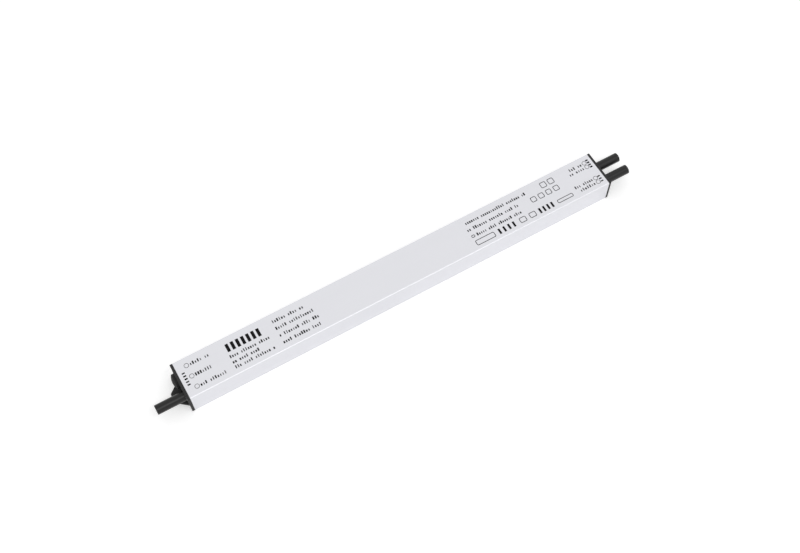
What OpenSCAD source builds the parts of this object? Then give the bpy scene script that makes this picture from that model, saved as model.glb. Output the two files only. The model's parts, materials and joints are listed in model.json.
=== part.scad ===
// Slim sealed driver for LED lighting: an aluminium tube closed by two moulded end caps with
// mounting ears, a populated circuit board potted inside, and a short cut cable at each exit.
// Units are millimetres. The origin is at the middle of the underside, X runs along the case
// from the mains input to the lamp output, and Z is up.

/* [Case] */
// Length of the aluminium tube
case_length = 342; // [320:1:420]
// Width of the tube
case_width = 30; // [28:0.5:40]
// Height of the tube
case_height = 21; // [20:0.5:30]
// Thickness of the tube's walls
case_wall = 1.5; // [1.2:0.1:1.8]
// Radius of the tube's outer edges
case_edge_radius = 0.8; // [0.4:0.1:1.4]
// Radius of the screw port in each inner corner
port_radius = 2.1; // [1.8:0.1:2.4]
// Distance of a screw port's axis from the two walls beside it
port_inset = 1.2; // [1:0.1:1.6]
// How far a board rail stands out from its side wall
rail_depth = 1; // [0.6:0.1:1.4]
// Thickness of a board rail
rail_thickness = 1; // [0.6:0.1:1.4]

/* [End caps] */
// Thickness of the cap's flange
flange_thickness = 1.6; // [1.4:0.1:3]
// Chamfer around the flange's outer face
flange_chamfer = 0.2; // [0.2:0.1:0.4]
// Thickness of the gasket under the flange
gasket_thickness = 0.4; // [0.3:0.1:1]
// How far the cap's spigot goes into the tube
spigot_depth = 7; // [5:0.5:9]
// Wall of the spigot
spigot_wall = 1.4; // [1:0.1:1.8]
// Wall of the sleeve around each cable
sleeve_wall = 1.2; // [0.8:0.1:1.8]
// How far the mounting ear stands out from the flange
ear_length = 8; // [7.5:0.5:14]
// Width of the ear at the flange
ear_root_width = 20; // [16:0.5:22]
// Width of the ear at its tip
ear_tip_width = 6.6; // [6:0.2:10]
// Radius of the ear's corners
ear_corner_radius = 1.5; // [0.5:0.1:2.5]
// Thickness of the ear
ear_thickness = 2.2; // [1.6:0.2:3]
// Diameter of the mounting hole
ear_hole_diameter = 4.2; // [3.2:0.1:4.6]
// Distance of the mounting hole from the flange
ear_hole_offset = 4.5; // [4:0.1:5]

/* [Cap screws] */
// Thread diameter of the screws that hold the caps
screw_diameter = 2.2; // [1.8:0.1:2.6]
// Diameter of the countersunk head
screw_head_diameter = 4.2; // [3.6:0.1:4.8]
// Length of the screw, head included
screw_length = 9; // [6:0.5:14]
// Width of the cross recess
recess_width = 0.6; // [0.4:0.1:0.8]
// Span of the cross recess
recess_span = 2.4; // [1.6:0.1:2.8]
// Depth of the cross recess
recess_depth = 0.8; // [0.5:0.1:1]

/* [Cables] */
// Outer diameter of every cable
cable_diameter = 7.2; // [6.4:0.1:8]
// Distance between the two cable exits of a cap
cable_pitch = 12.4; // [11.6:0.2:14]
// Length of cable that shows outside the flange
cable_stub = 21.5; // [15:0.5:60]
// Length of jacket inside the tube, past the spigot
jacket_tail = 5; // [4.5:0.5:7]
// Diameter of a core in the three-core mains cable
mains_core_diameter = 2.3; // [1.8:0.1:2.5]
// Diameter of a core in the two-core cables
pair_core_diameter = 2.5; // [1.8:0.1:2.8]
// Diameter of the copper in every core
copper_diameter = 1.1; // [0.8:0.1:1.3]
// Length of the crimped anchor ring behind the cap
anchor_length = 3; // [2:0.5:4]
// Wall of the anchor ring
anchor_wall = 0.8; // [0.5:0.1:1.2]

/* [Blank plug] */
// Diameter of the plug's head
plug_head_diameter = 11.8; // [9:0.2:12]
// Height of the head's straight rim
plug_rim = 1.9; // [1:0.1:3]
// Height of the dome above the rim
plug_dome = 1.7; // [0.6:0.1:3]
// Length of the locking lip at the inner end
plug_lip = 1.5; // [1:0.1:3]
// How far the locking lip stands out from the stem
plug_lip_height = 0.5; // [0.3:0.1:1]

/* [Circuit board] */
// Thickness of the board
board_thickness = 1.6; // [1:0.1:2]
// Room between the tube's floor and the board
board_standoff = 3.5; // [3.2:0.1:4]
// Room for the wires between a spigot and the board
wire_room = 15; // [12:0.5:20]
// Distance of the first wire hole from the board's end
wire_inset = 5; // [4:0.5:6]
// Length kept for the wires at each end of the board
landing_length = 13; // [12:0.5:15]
// Diameter of a component lead
lead_diameter = 0.8; // [0.6:0.1:1]
// Length of a lead below the board
lead_tail = 1; // [0.6:0.1:1.4]

/* [Mains side parts] */
// Diameter of the fuse
fuse_diameter = 8.5; // [7:0.1:9.2]
// Height of the fuse
fuse_height = 7.5; // [6:0.1:10]
// Diameter of the varistor and the thermistor discs
disc_diameter = 9; // [7:0.1:9.6]
// Thickness of the varistor and the thermistor discs
disc_thickness = 4.2; // [3:0.1:5]
// Diameter of a line-to-earth capacitor
earth_cap_diameter = 7; // [6:0.1:9]
// Thickness of a line-to-earth capacitor
earth_cap_thickness = 3.4; // [2.5:0.1:4]
// Length of a line filter capacitor
film_cap_length = 18; // [16:0.1:20]
// Width of a line filter capacitor
film_cap_width = 7; // [5:0.1:9]
// Height of a line filter capacitor
film_cap_height = 10; // [8:0.1:11.5]
// Length of the bridge rectifier
bridge_length = 18; // [16:0.1:20]
// Thickness of the bridge rectifier
bridge_thickness = 3.5; // [3:0.1:5]
// Height of the bridge rectifier
bridge_height = 10; // [8:0.1:11]

/* [Line choke] */
// Outer diameter of the ring core
ring_outer_diameter = 15; // [13:0.1:16]
// Inner diameter of the ring core
ring_inner_diameter = 8; // [7:0.1:9]
// Height of the ring core
ring_height = 6; // [5:0.1:8]
// Thickness of the winding on the ring
ring_winding = 1.3; // [0.8:0.1:1.6]
// Angle that each winding covers
ring_winding_angle = 140; // [120:1:160]

/* [Wound parts] */
// Length of the boost choke's core
boost_length = 28; // [26:0.5:32]
// Length of the transformer's core
transformer_length = 36; // [32:0.5:40]
// Width of both cores
core_width = 19; // [18.5:0.1:21]
// Height of both cores
core_height = 9; // [8:0.1:10]
// Thickness of a core's end plate
core_end = 4; // [3:0.1:5]
// Thickness of a core's outer leg
core_leg = 2.5; // [2:0.1:2.8]
// Diameter of the core's middle leg
core_post_diameter = 6; // [5:0.1:7]
// Outer diameter of the windings
coil_diameter = 11.2; // [10:0.1:11.5]
// Wall of the bobbin's tube
bobbin_wall = 0.8; // [0.6:0.1:1]
// Thickness of a bobbin flange
bobbin_flange = 1.2; // [1:0.1:1.6]

/* [Storage and output parts] */
// Diameter of a storage capacitor
bulk_diameter = 10; // [8:0.1:10.6]
// Length of a storage capacitor
bulk_length = 38; // [34:0.5:42]
// Length of a resonant capacitor
resonant_length = 13; // [10:0.1:15]
// Width of a resonant capacitor
resonant_width = 5; // [4:0.1:8]
// Height of a resonant capacitor
resonant_height = 9.5; // [7:0.1:11]
// Diameter of an output capacitor
output_cap_diameter = 8; // [6:0.1:9]
// Height of an output capacitor
output_cap_height = 10.5; // [8:0.1:11.5]
// Diameter of the output choke
drum_diameter = 12; // [10:0.1:14]
// Height of the output choke
drum_height = 9; // [7:0.1:10.5]
// Thickness of the output choke's flanges
drum_flange = 1.5; // [1:0.1:2]
// Diameter of the output choke's middle
drum_core_diameter = 6; // [5:0.1:7]

/* [Chips] */
// Length of an optocoupler
opto_length = 4.6; // [4:0.1:5.5]
// Width of an optocoupler
opto_width = 6.2; // [5:0.1:7]
// Height of an optocoupler
opto_height = 3.4; // [3:0.1:4]
// Side of the dimming controller's body
controller_side = 7; // [5:0.1:8]
// Height of the dimming controller and the control chips
chip_height = 1.6; // [1.2:0.1:1.8]
// Length of a control chip
chip_length = 10; // [8:0.1:12]
// Width of a control chip's body
chip_width = 4; // [3:0.1:4.4]
// Side of a power transistor
transistor_side = 6.2; // [5.5:0.1:6.6]
// Height of a power transistor
transistor_height = 2.3; // [2:0.1:2.5]

/* [Hidden] */
$fn = 48;
// Clearances
spigot_clearance = 0.15;
screw_clearance = 0.15;
thread_clearance = 0.03;
cable_clearance = 0.05;
core_clearance = 0.05;
core_web = 0.2;
copper_clearance = 0.04;
board_side_clearance = 0.2;
board_slot_clearance = 0.15;
lead_clearance = 0.1;
winding_clearance = 0.05;
post_clearance = 0.15;
core_air_gap = 0.2;
part_standoff = 0.3;
disc_standoff = 1;
cut_overrun = 1;
// Places that come out of a division or an angle are rounded to this step
place_step = 0.1;
function snap(value) = round(value / place_step) * place_step;
// Pitches of leads and pins
short_lead_pitch = 5;
film_lead_pitch = 15;
resonant_lead_pitch = 10;
bridge_lead_pitch = 4.5;
output_lead_pitch = 3.5;
bobbin_pin_half_pitch = 4;
opto_lead_pitch = 2.54;
chip_lead_pitch = 1.27;
chip_lead_width = 0.42;
chip_lead_reach = 0.9;
chip_lead_height = 0.5;
chip_foot = 0.2;
controller_lead_pitch = 0.8;
capacitor_gap = 0.6;
capacitor_crimp = 0.5;
capacitor_crimp_offset = 2.5;
ring_lead_margin = 12;
opto_gap = 2.8;
transistor_gap = 3;
lead_embed = 1;
// Tube
case_half = case_length / 2;
inner_half = case_width / 2 - case_wall;
inner_top = case_height - case_wall;
port_y = inner_half - port_inset;
port_low = case_wall + port_inset;
port_high = inner_top - port_inset;
port_spots = [for (y = [-port_y, port_y]) for (z = [port_low, port_high]) [y, z]];
// End caps and cables
cap_outside = gasket_thickness + flange_thickness;
cable_height = case_height / 2;
cable_y = cable_pitch / 2;
cable_bore = cable_diameter + 2 * cable_clearance;
cable_end = cap_outside + cable_stub;
jacket_start = -spigot_depth - jacket_tail;
// Board
board_bottom = case_wall + board_standoff;
board_top = board_bottom + board_thickness;
board_end = -spigot_depth - wire_room;
board_length = case_length + 2 * board_end;
board_half_width = inner_half - board_side_clearance;
wire_hole_x = board_end - wire_inset;
lane = (port_y - port_radius) / 2;
// Wound parts
coil_axis = board_top + part_standoff + coil_diameter / 2;
bobbin_tube = core_post_diameter + 2 * (post_clearance + bobbin_wall);
bobbin_half_width = core_width / 2 - core_leg - post_clearance;
ring_bottom = board_top + part_standoff + ring_winding;
ring_reach = ring_outer_diameter / 2 + ring_winding;
// Storage capacitors lie down, with their leads bent over to the board
bulk_axis = board_top + part_standoff + bulk_diameter / 2;
bulk_drop = bulk_axis - board_top;
bulk_y = (bulk_diameter + capacitor_gap) / 2;
output_cap_pitch = output_cap_diameter + capacitor_gap;

// The parts stand on the board in stages that share out its length evenly
stage_lengths = [
    max(fuse_diameter, disc_thickness),
    film_cap_length,
    2 * ring_reach,
    max(film_cap_length, bridge_length),
    boost_length,
    bulk_length + bulk_drop + lead_diameter,
    resonant_length,
    transformer_length,
    output_cap_pitch + output_cap_diameter,
    drum_diameter,
    2 * controller_side
];
stage_count = len(stage_lengths);
stage_room = board_length - 2 * landing_length;
stage_total = total(stage_lengths, stage_count);
stage_gap = floor((stage_room - stage_total) / (stage_count - 1) / place_step) * place_step;
stage_left = -(stage_total + (stage_count - 1) * stage_gap) / 2;
function total(values, count) = count == 0 ? 0 : values[count - 1] + total(values, count - 1);
function stage_start(i) = stage_left + total(stage_lengths, i) + i * stage_gap;
function stage_middle(i) = stage_start(i) + stage_lengths[i] / 2;

fuse_stage = 0;
filter_stage = 1;
ring_stage = 2;
bridge_stage = 3;
boost_stage = 4;
bulk_stage = 5;
resonant_stage = 6;
transformer_stage = 7;
output_cap_stage = 8;
drum_stage = 9;
dimming_stage = 10;

// Where the leads go through the board
function pair_along(x, y, pitch) = [for (s = [-1, 1]) [x + s * pitch / 2, y]];
function pair_across(x, y, pitch) = [for (s = [-1, 1]) [x, y + s * pitch / 2]];
fuse_leads = pair_along(stage_middle(fuse_stage), lane, short_lead_pitch);
varistor_x = stage_middle(fuse_stage);
thermistor_x = stage_start(filter_stage) + disc_thickness / 2;
earth_cap_last_x = stage_start(filter_stage) + film_cap_length - earth_cap_thickness / 2;
earth_cap_xs = [earth_cap_last_x, earth_cap_last_x - earth_cap_thickness - capacitor_gap];
film_cap_xs = [stage_middle(filter_stage), stage_middle(bridge_stage)];
bridge_x = stage_middle(bridge_stage);
bridge_leads = [for (i = [-1.5:1.5]) [bridge_x + i * bridge_lead_pitch, lane]];
ring_x = stage_middle(ring_stage);
ring_lead_radius = (ring_outer_diameter + ring_winding) / 2;
ring_lead_angle = ring_winding_angle / 2 - ring_lead_margin;
ring_lead_x = snap(ring_lead_radius * sin(ring_lead_angle));
ring_lead_y = snap(ring_lead_radius * cos(ring_lead_angle));
ring_leads = [for (y = [ring_lead_y, -ring_lead_y]) each pair_along(ring_x, y, 2 * ring_lead_x)];
function bobbin_ends(length) = [core_end + post_clearance, length - core_end - post_clearance];
function bobbin_pins(stage, length) = [
    for (x = bobbin_ends(length)) for (y = [-bobbin_pin_half_pitch, bobbin_pin_half_pitch])
        [stage_start(stage) + x + sign(length / 2 - x) * bobbin_flange / 2, y]
];
bulk_lead_x = stage_start(bulk_stage) + lead_diameter / 2;
bulk_leads = [for (y = [-bulk_y, bulk_y]) each pair_across(bulk_lead_x, y, short_lead_pitch)];
resonant_x = stage_middle(resonant_stage);
output_cap_spots = [
    for (sx = [-1, 1]) for (sy = [-1, 1])
        [stage_middle(output_cap_stage) + sx * output_cap_pitch / 2, sy * lane]
];
drum_leads = pair_along(stage_middle(drum_stage), 0, drum_core_diameter + 2 * drum_flange);
opto_xs = [for (s = [-1, 1]) stage_middle(dimming_stage) + s * (opto_length + opto_gap) / 2];
opto_leads = [
    for (x = opto_xs) for (sy = [-1, 1])
        each pair_along(x, lane + sy * (opto_width - lead_diameter) / 2, opto_lead_pitch)
];
lead_spots = concat(
    fuse_leads,
    pair_across(varistor_x, -lane, short_lead_pitch),
    pair_across(thermistor_x, lane, short_lead_pitch),
    [for (x = earth_cap_xs) each pair_across(x, lane, short_lead_pitch)],
    [for (x = film_cap_xs) each pair_along(x, -lane, film_lead_pitch)],
    ring_leads,
    bridge_leads,
    bobbin_pins(boost_stage, boost_length),
    bulk_leads,
    [for (s = [-1, 1]) each pair_along(resonant_x, s * lane, resonant_lead_pitch)],
    bobbin_pins(transformer_stage, transformer_length),
    [for (spot = output_cap_spots) each pair_along(spot[0], spot[1], output_lead_pitch)],
    drum_leads,
    opto_leads
);
// Cores of a cable: offsets across the cable, and how far along the board each one lands
mains_core_offset = (mains_core_diameter + core_web) / 2 + core_clearance;
mains_core_rise = ceil(2 * mains_core_offset / sqrt(3) / place_step) * place_step;
mains_cores = [
    [0, mains_core_rise],
    [-mains_core_offset, -mains_core_rise / 2],
    [mains_core_offset, -mains_core_rise / 2]
];
mains_landings = [mains_core_diameter + lead_diameter, 0, 0];
pair_core_offset = (pair_core_diameter + core_web) / 2 + core_clearance;
pair_cores = [[pair_core_offset, 0], [-pair_core_offset, 0]];
wire_spots = concat(
    [for (i = [0:2]) [-case_half - wire_hole_x + mains_landings[i], mains_cores[i][0] - cable_y]],
    [for (y = [-cable_y, cable_y]) for (core = pair_cores) [case_half + wire_hole_x, y + core[0]]]
);
// Chips and transistors under the board
function transistor_pair(stage) = [
    for (s = [-1, 1]) stage_middle(stage) + s * (transistor_side + transistor_gap) / 2
];
transistor_xs = concat(transistor_pair(boost_stage), transistor_pair(bulk_stage));
rectifier_xs = transistor_pair(transformer_stage);
bulk_stage_end = stage_start(bulk_stage) + stage_lengths[bulk_stage];
chip_xs = [stage_middle(bridge_stage), bulk_stage_end - chip_length / 2];

// Shared shapes

// Sweeps a profile drawn in Y and Z along the X axis
module along_x(start, length) {
    translate([start, 0, 0]) rotate([90, 0, 90]) linear_extrude(length) children();
}

// Puts a shape drawn at the output end of the tube, with X pointing out of it
module at_output() {
    translate([case_half, 0, 0]) children();
}

module at_input() {
    mirror([1, 0, 0]) at_output() children();
}

module block(low, high) {
    translate(low) cube(high - low);
}

module case_outline() {
    half = case_width / 2 - case_edge_radius;
    translate([-half, 0]) square([2 * half, case_height]);
    translate([-case_width / 2, case_edge_radius]) square([case_width, case_height - 2 * case_edge_radius]);
    for (y = [-half, half]) {
        for (z = [case_edge_radius, case_height - case_edge_radius]) {
            translate([y, z]) circle(case_edge_radius);
        }
    }
}

// The inside of the tube, drawn smaller all round by gap
module cavity_outline(gap) {
    rail_low = board_bottom - rail_thickness - gap;
    rail_high = board_top + board_slot_clearance + rail_thickness + gap;
    half = inner_half - gap;
    difference() {
        translate([-half, case_wall + gap]) square([2 * half, inner_top - case_wall - 2 * gap]);
        for (spot = port_spots) translate(spot) circle(port_radius + gap);
        for (side = [0, 1]) mirror([side, 0]) translate([half - rail_depth, 0]) {
            translate([0, rail_low]) square([rail_depth + cut_overrun, board_bottom - rail_low + gap]);
            translate([0, board_top + board_slot_clearance - gap])
                square([rail_depth + cut_overrun, rail_high - board_top - board_slot_clearance + gap]);
        }
    }
}

// Rounded mounting ear, drawn from the flange's outer face
module ear_outline() {
    run = [ear_length, (ear_tip_width - ear_root_width) / 2];
    slope = run / norm(run);
    middle_x = ear_length - ear_corner_radius;
    middle_y = ear_tip_width / 2 - ear_corner_radius * (1 + slope[1]) / slope[0];
    side_x = middle_x - ear_corner_radius * slope[1];
    side_y = middle_y + ear_corner_radius * slope[0];
    half = ear_root_width / 2;
    polygon([
        [-flange_thickness, -half], [0, -half], [side_x, -side_y], [ear_length, -middle_y],
        [ear_length, middle_y], [side_x, side_y], [0, half], [-flange_thickness, half]
    ]);
    for (y = [-middle_y, middle_y]) translate([middle_x, y]) circle(ear_corner_radius);
}

// Cut that chamfers an outer edge of the flange, drawn with that edge at the origin
module chamfer_wedge() {
    reach = flange_chamfer + cut_overrun;
    polygon([[-reach, cut_overrun], [cut_overrun, cut_overrun], [cut_overrun, -reach]]);
}

// Plate with the tube's outline, chamfered around its outer face
module flange_shape() {
    half = case_width / 2;
    difference() {
        along_x(gasket_thickness, flange_thickness) case_outline();
        for (side = [0, 1]) mirror([0, side, 0]) translate([cap_outside, half, -cut_overrun])
            linear_extrude(case_height + 2 * cut_overrun) chamfer_wedge();
        for (side = [0, 1]) translate([cap_outside, half + cut_overrun, side * case_height]) rotate([90, 0, 0])
            linear_extrude(case_width + 2 * cut_overrun) mirror([0, 1 - side]) chamfer_wedge();
    }
}

module end_cap_shape() {
    head_slope = (screw_head_diameter - screw_diameter) / 2;
    difference() {
        union() {
            flange_shape();
            along_x(-spigot_depth, spigot_depth + cap_outside) difference() {
                cavity_outline(spigot_clearance);
                cavity_outline(spigot_clearance + spigot_wall);
            }
            for (y = [-cable_y, cable_y]) {
                along_x(-spigot_depth, spigot_depth + cap_outside)
                    translate([y, cable_height]) circle(d = cable_bore + 2 * sleeve_wall);
            }
            translate([cap_outside, 0, 0]) linear_extrude(ear_thickness) ear_outline();
        }
        for (y = [-cable_y, cable_y]) {
            along_x(-spigot_depth - cut_overrun, spigot_depth + cap_outside + 2 * cut_overrun)
                translate([y, cable_height]) circle(d = cable_bore);
        }
        for (spot = port_spots) translate([cap_outside, spot[0], spot[1]]) rotate([0, -90, 0]) {
            translate([0, 0, -cut_overrun])
                cylinder(d = screw_diameter + 2 * screw_clearance, h = cap_outside + 2 * cut_overrun);
            cylinder(
                h = head_slope,
                d1 = screw_head_diameter + 2 * screw_clearance,
                d2 = screw_diameter + 2 * screw_clearance
            );
        }
        translate([cap_outside + ear_hole_offset, 0, -cut_overrun])
            cylinder(d = ear_hole_diameter, h = ear_thickness + 2 * cut_overrun);
    }
}

module gasket_shape() {
    along_x(0, gasket_thickness) difference() {
        case_outline();
        cavity_outline(0);
        for (spot = port_spots) translate(spot) circle(d = screw_diameter + 2 * screw_clearance);
    }
}

// Countersunk screws, heads flush with the flange
module cap_screw_set() {
    head_height = (screw_head_diameter - screw_diameter) / 2;
    for (spot = port_spots) translate([cap_outside, spot[0], spot[1]]) rotate([0, -90, 0]) difference() {
        union() {
            cylinder(h = head_height, d1 = screw_head_diameter, d2 = screw_diameter);
            cylinder(d = screw_diameter, h = screw_length);
        }
        for (turn = [0, 90]) rotate([0, 0, turn])
            block(
                [-recess_span / 2, -recess_width / 2, -cut_overrun],
                [recess_span / 2, recess_width / 2, recess_depth]
            );
    }
}

// A wire or lead that runs along X at a height above the board and bends down to its hole
module bent_wire(hole_x, y, z, end_x, outer, inner = 0) {
    drop = z - board_top;
    module section() {
        difference() {
            circle(d = outer);
            if (inner > 0) circle(d = inner);
        }
    }
    along_x(hole_x + drop, end_x - hole_x - drop) translate([y, z]) section();
    translate([hole_x + drop, y, board_top]) rotate([90, 0, 0]) rotate([0, 0, 90])
        rotate_extrude(angle = 90) translate([drop, 0]) section();
}

// A lead through the board
module lead(spot, top = board_top + lead_embed) {
    translate([spot[0], spot[1], board_bottom - lead_tail])
        cylinder(d = lead_diameter, h = top - board_bottom + lead_tail);
}

// Jacket of a cable with a bore for each core
module cable_jacket(y, cores, core_diameter) {
    along_x(jacket_start, cable_end - jacket_start) translate([y, cable_height]) difference() {
        circle(d = cable_diameter);
        for (core = cores) translate(core) circle(d = core_diameter + 2 * core_clearance);
    }
}

module core_insulation(y, core, landing, core_diameter) {
    bent_wire(
        wire_hole_x - landing, y + core[0], cable_height + core[1], cable_end,
        core_diameter, copper_diameter + 2 * copper_clearance
    );
}

module core_copper(y, core, landing) {
    hole_x = wire_hole_x - landing;
    bent_wire(hole_x, y + core[0], cable_height + core[1], cable_end, copper_diameter);
    translate([hole_x, y + core[0], board_bottom - lead_tail])
        cylinder(d = copper_diameter, h = board_top - board_bottom + lead_tail);
}

// Disc part that stands on two leads, facing along the board
module disc_part(x, y, diameter, thickness) {
    axis_z = board_top + disc_standoff + diameter / 2;
    along_x(x - thickness / 2, thickness) translate([y, axis_z]) circle(d = diameter);
    for (spot = pair_across(x, y, short_lead_pitch)) lead(spot, axis_z);
}

// Boxed capacitor on two leads
module boxed_part(x, y, size, pitch) {
    block(
        [x - size[0] / 2, y - size[1] / 2, board_top],
        [x + size[0] / 2, y + size[1] / 2, board_top + size[2]]
    );
    for (spot = pair_along(x, y, pitch)) lead(spot);
}

// Two facing halves of a ferrite core with a round middle leg
module ferrite_core(stage, length) {
    half = length / 2 - core_air_gap / 2;
    window = core_width / 2 - core_leg;
    low = coil_axis - core_height / 2;
    translate([stage_start(stage) + length / 2, 0, 0]) for (side = [0, 1]) mirror([side, 0, 0]) {
        difference() {
            block([core_air_gap / 2, -core_width / 2, low], [length / 2, core_width / 2, low + core_height]);
            block(
                [-cut_overrun, -window, low - cut_overrun],
                [length / 2 - core_end, window, low + core_height + cut_overrun]
            );
        }
        along_x(core_air_gap / 2, half) translate([0, coil_axis]) circle(d = core_post_diameter);
    }
}

// Bobbin with a flange at each end, and one at each extra place along it, standing on pins
module bobbin(stage, length, extra_flanges = []) {
    ends = bobbin_ends(length);
    flanges = concat([ends[0], ends[1] - bobbin_flange], extra_flanges);
    start = stage_start(stage);
    difference() {
        union() {
            along_x(start + ends[0], ends[1] - ends[0]) translate([0, coil_axis]) circle(d = bobbin_tube);
            for (x = flanges) {
                block(
                    [start + x, -bobbin_half_width, board_top],
                    [start + x + bobbin_flange, bobbin_half_width, coil_axis + coil_diameter / 2]
                );
            }
            for (spot = bobbin_pins(stage, length)) lead(spot);
        }
        along_x(start, length) translate([0, coil_axis]) circle(d = core_post_diameter + 2 * post_clearance);
    }
}

module coil(start, length) {
    along_x(start, length) translate([0, coil_axis]) difference() {
        circle(d = coil_diameter);
        circle(d = bobbin_tube + 2 * winding_clearance);
    }
}

// Surface-mounted chip: its body is turned up or down by side, with a row of legs on two edges
module chip(x, y, length, width, pitch, count, side) {
    surface = side > 0 ? board_top : board_bottom;
    translate([x, y, surface]) mirror([0, 0, side > 0 ? 0 : 1]) {
        block([-length / 2, -width / 2, chip_foot], [length / 2, width / 2, chip_height]);
        for (i = [0:count - 1]) {
            leg_x = (i - (count - 1) / 2) * pitch;
            block(
                [leg_x - chip_lead_width / 2, -width / 2 - chip_lead_reach, 0],
                [leg_x + chip_lead_width / 2, width / 2 + chip_lead_reach, chip_lead_height]
            );
        }
    }
}

module transistor(x) {
    half = transistor_side / 2;
    block([x - half, -half, board_bottom - transistor_height], [x + half, half, board_bottom]);
}

module thermal_pad(x) {
    half = transistor_side / 2;
    block([x - half, -half, case_wall], [x + half, half, board_bottom - transistor_height]);
}

// Case and caps

module case_extrusion() {
    color("gainsboro") along_x(-case_half, case_length) difference() {
        case_outline();
        cavity_outline(0);
        for (spot = port_spots) translate(spot) circle(d = screw_diameter + 2 * thread_clearance);
    }
}

module input_end_cap() {
    color("#26272a") at_input() end_cap_shape();
}

module output_end_cap() {
    color("#26272a") at_output() end_cap_shape();
}

module input_gasket() {
    color("#1b1b1c") at_input() gasket_shape();
}

module output_gasket() {
    color("#1b1b1c") at_output() gasket_shape();
}

module input_cap_screws() {
    color("silver") at_input() cap_screw_set();
}

module output_cap_screws() {
    color("silver") at_output() cap_screw_set();
}

// Rubber plug with a domed head that closes the unused cable exit of the input cap
module blank_plug() {
    head_radius = plug_head_diameter / 2;
    dome_radius = (head_radius * head_radius + plug_dome * plug_dome) / (2 * plug_dome);
    stem_radius = cable_bore / 2 - cable_clearance;
    stem_length = spigot_depth + cap_outside;
    color("#222326") at_input() translate([cap_outside, cable_y, cable_height]) rotate([0, 90, 0]) {
        intersection() {
            cylinder(r = head_radius, h = plug_rim + plug_dome);
            translate([0, 0, plug_rim + plug_dome - dome_radius]) sphere(dome_radius, $fn = 96);
        }
        translate([0, 0, -stem_length - plug_lip]) {
            cylinder(r = stem_radius, h = stem_length + plug_lip + plug_rim);
            cylinder(r1 = stem_radius, r2 = stem_radius + plug_lip_height, h = plug_lip);
        }
    }
}

// Crimped rings that keep the cables from being pulled out
module cable_anchors() {
    module ring(y) {
        along_x(-spigot_depth - anchor_length, anchor_length) translate([y, cable_height]) difference() {
            circle(d = cable_bore + 2 * anchor_wall);
            circle(d = cable_bore);
        }
    }
    color("silver") {
        at_input() ring(-cable_y);
        at_output() ring(cable_y);
        at_output() ring(-cable_y);
    }
}

// Cables

module input_cable_jacket() {
    color("#2b2c2f") at_input() cable_jacket(-cable_y, mains_cores, mains_core_diameter);
}

module input_wire(i) {
    at_input() core_insulation(-cable_y, mains_cores[i], mains_landings[i], mains_core_diameter);
}

module input_live_wire() {
    color("saddlebrown") input_wire(1);
}

module input_neutral_wire() {
    color("royalblue") input_wire(2);
}

module input_earth_wire() {
    color("yellowgreen") input_wire(0);
}

module input_conductors() {
    color("peru") at_input() for (i = [0:2]) core_copper(-cable_y, mains_cores[i], mains_landings[i]);
}

module output_cable_jacket() {
    color("#2b2c2f") at_output() cable_jacket(cable_y, pair_cores, pair_core_diameter);
}

module output_positive_wire() {
    color("saddlebrown") at_output() core_insulation(cable_y, pair_cores[0], 0, pair_core_diameter);
}

module output_negative_wire() {
    color("royalblue") at_output() core_insulation(cable_y, pair_cores[1], 0, pair_core_diameter);
}

module output_conductors() {
    color("peru") at_output() for (core = pair_cores) core_copper(cable_y, core, 0);
}

module dimming_cable_jacket() {
    color("#2b2c2f") at_output() cable_jacket(-cable_y, pair_cores, pair_core_diameter);
}

module dimming_wire_one() {
    color("mediumpurple") at_output() core_insulation(-cable_y, pair_cores[0], 0, pair_core_diameter);
}

module dimming_wire_two() {
    color("gray") at_output() core_insulation(-cable_y, pair_cores[1], 0, pair_core_diameter);
}

module dimming_conductors() {
    color("peru") at_output() for (core = pair_cores) core_copper(-cable_y, core, 0);
}

// Board and its parts

module circuit_board() {
    color("darkgreen") difference() {
        block(
            [-board_length / 2, -board_half_width, board_bottom],
            [board_length / 2, board_half_width, board_top]
        );
        for (spot = lead_spots) translate([spot[0], spot[1], board_bottom - cut_overrun])
            cylinder(d = lead_diameter + 2 * lead_clearance, h = board_thickness + 2 * cut_overrun);
        for (spot = wire_spots) translate([spot[0], spot[1], board_bottom - cut_overrun])
            cylinder(d = copper_diameter + 2 * lead_clearance, h = board_thickness + 2 * cut_overrun);
    }
}

module fuse() {
    color("#30343c") {
        translate([stage_middle(fuse_stage), lane, board_top]) cylinder(d = fuse_diameter, h = fuse_height);
        for (spot = fuse_leads) lead(spot);
    }
}

module varistor() {
    color("steelblue") disc_part(varistor_x, -lane, disc_diameter, disc_thickness);
}

module inrush_thermistor() {
    color("darkolivegreen") disc_part(thermistor_x, lane, disc_diameter, disc_thickness);
}

module earth_capacitors() {
    color("cornflowerblue") for (x = earth_cap_xs) {
        disc_part(x, lane, earth_cap_diameter, earth_cap_thickness);
    }
}

module line_capacitors() {
    size = [film_cap_length, film_cap_width, film_cap_height];
    color("goldenrod") for (x = film_cap_xs) boxed_part(x, -lane, size, film_lead_pitch);
}

module line_choke_core() {
    color("dimgray") translate([ring_x, 0, ring_bottom]) difference() {
        cylinder(d = ring_outer_diameter, h = ring_height);
        translate([0, 0, -cut_overrun]) cylinder(d = ring_inner_diameter, h = ring_height + 2 * cut_overrun);
    }
}

// Two windings on opposite sides of the ring, each on two leads
module line_choke_windings() {
    inner = ring_inner_diameter / 2;
    outer = ring_outer_diameter / 2;
    color("peru") for (side = [0, 180]) {
        translate([ring_x, 0, ring_bottom]) rotate([0, 0, 90 + side - ring_winding_angle / 2])
            rotate_extrude(angle = ring_winding_angle) difference() {
                translate([inner - ring_winding, -ring_winding])
                    square([outer - inner + 2 * ring_winding, ring_height + 2 * ring_winding]);
                translate([inner - winding_clearance, -winding_clearance])
                    square([outer - inner + 2 * winding_clearance, ring_height + 2 * winding_clearance]);
            }
        first = side == 0 ? 0 : 2;
        for (i = [first, first + 1]) lead(ring_leads[i]);
    }
}

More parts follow.
